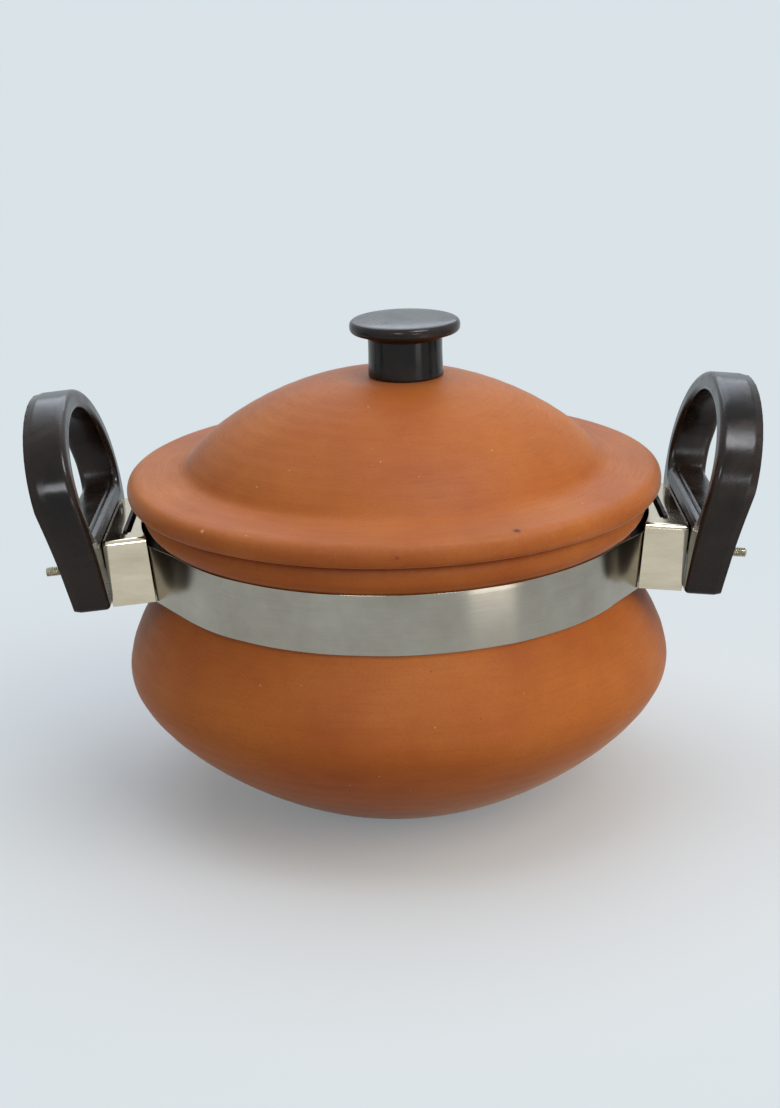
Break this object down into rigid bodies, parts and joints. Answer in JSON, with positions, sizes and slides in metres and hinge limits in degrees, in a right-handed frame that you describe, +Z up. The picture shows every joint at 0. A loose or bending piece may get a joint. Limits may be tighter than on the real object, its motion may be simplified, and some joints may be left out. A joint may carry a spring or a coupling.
{
  "type": "clay cooking pot",
  "caption": "Round clay cooking pot with a domed lid and knob, a steel band clamped round its neck and loop handles bolted to the band.",
  "frame": {"origin": "centre of the flat foot of the pot, on the surface it stands on", "axes": "+Z up the axis of the pot and lid, +X towards the right handle, -Y towards the side in the picture"},
  "size_m": [0.292, 0.224, 0.1989],
  "materials": {
    "clay": "unglazed fired clay, matt",
    "bakelite": "moulded, semi-gloss",
    "stainless_steel": "satin rolled strip",
    "nickel_plate": "polished nickel plating",
    "zinc_plated_steel": "bright zinc plating",
    "brass": "turned"
  },
  "bodies": {
    "pot_assembly": {"pot": "clay", "band_front": "stainless_steel", "band_back": "stainless_steel", "bracket_right": "nickel_plate", "bracket_left": "nickel_plate", "clamp_plate_right": "nickel_plate", "clamp_plate_left": "nickel_plate", "handle_right": "bakelite", "handle_left": "bakelite", "handle_screw_right": "zinc_plated_steel", "handle_screw_left": "zinc_plated_steel", "handle_washer_right": "zinc_plated_steel", "handle_washer_left": "zinc_plated_steel", "handle_nut_right": "zinc_plated_steel", "handle_nut_left": "zinc_plated_steel"},
    "lid_assembly": {"lid": "clay", "knob": "bakelite", "knob_insert": "brass", "knob_screw": "zinc_plated_steel", "knob_washer": "zinc_plated_steel"}
  },
  "joints": [
    {"name": "lid_lift", "type": "slide", "parent": "pot_assembly", "child": "lid_assembly", "axis": [0, 0, 1], "range_m": [0, 0.12]}
  ]
}
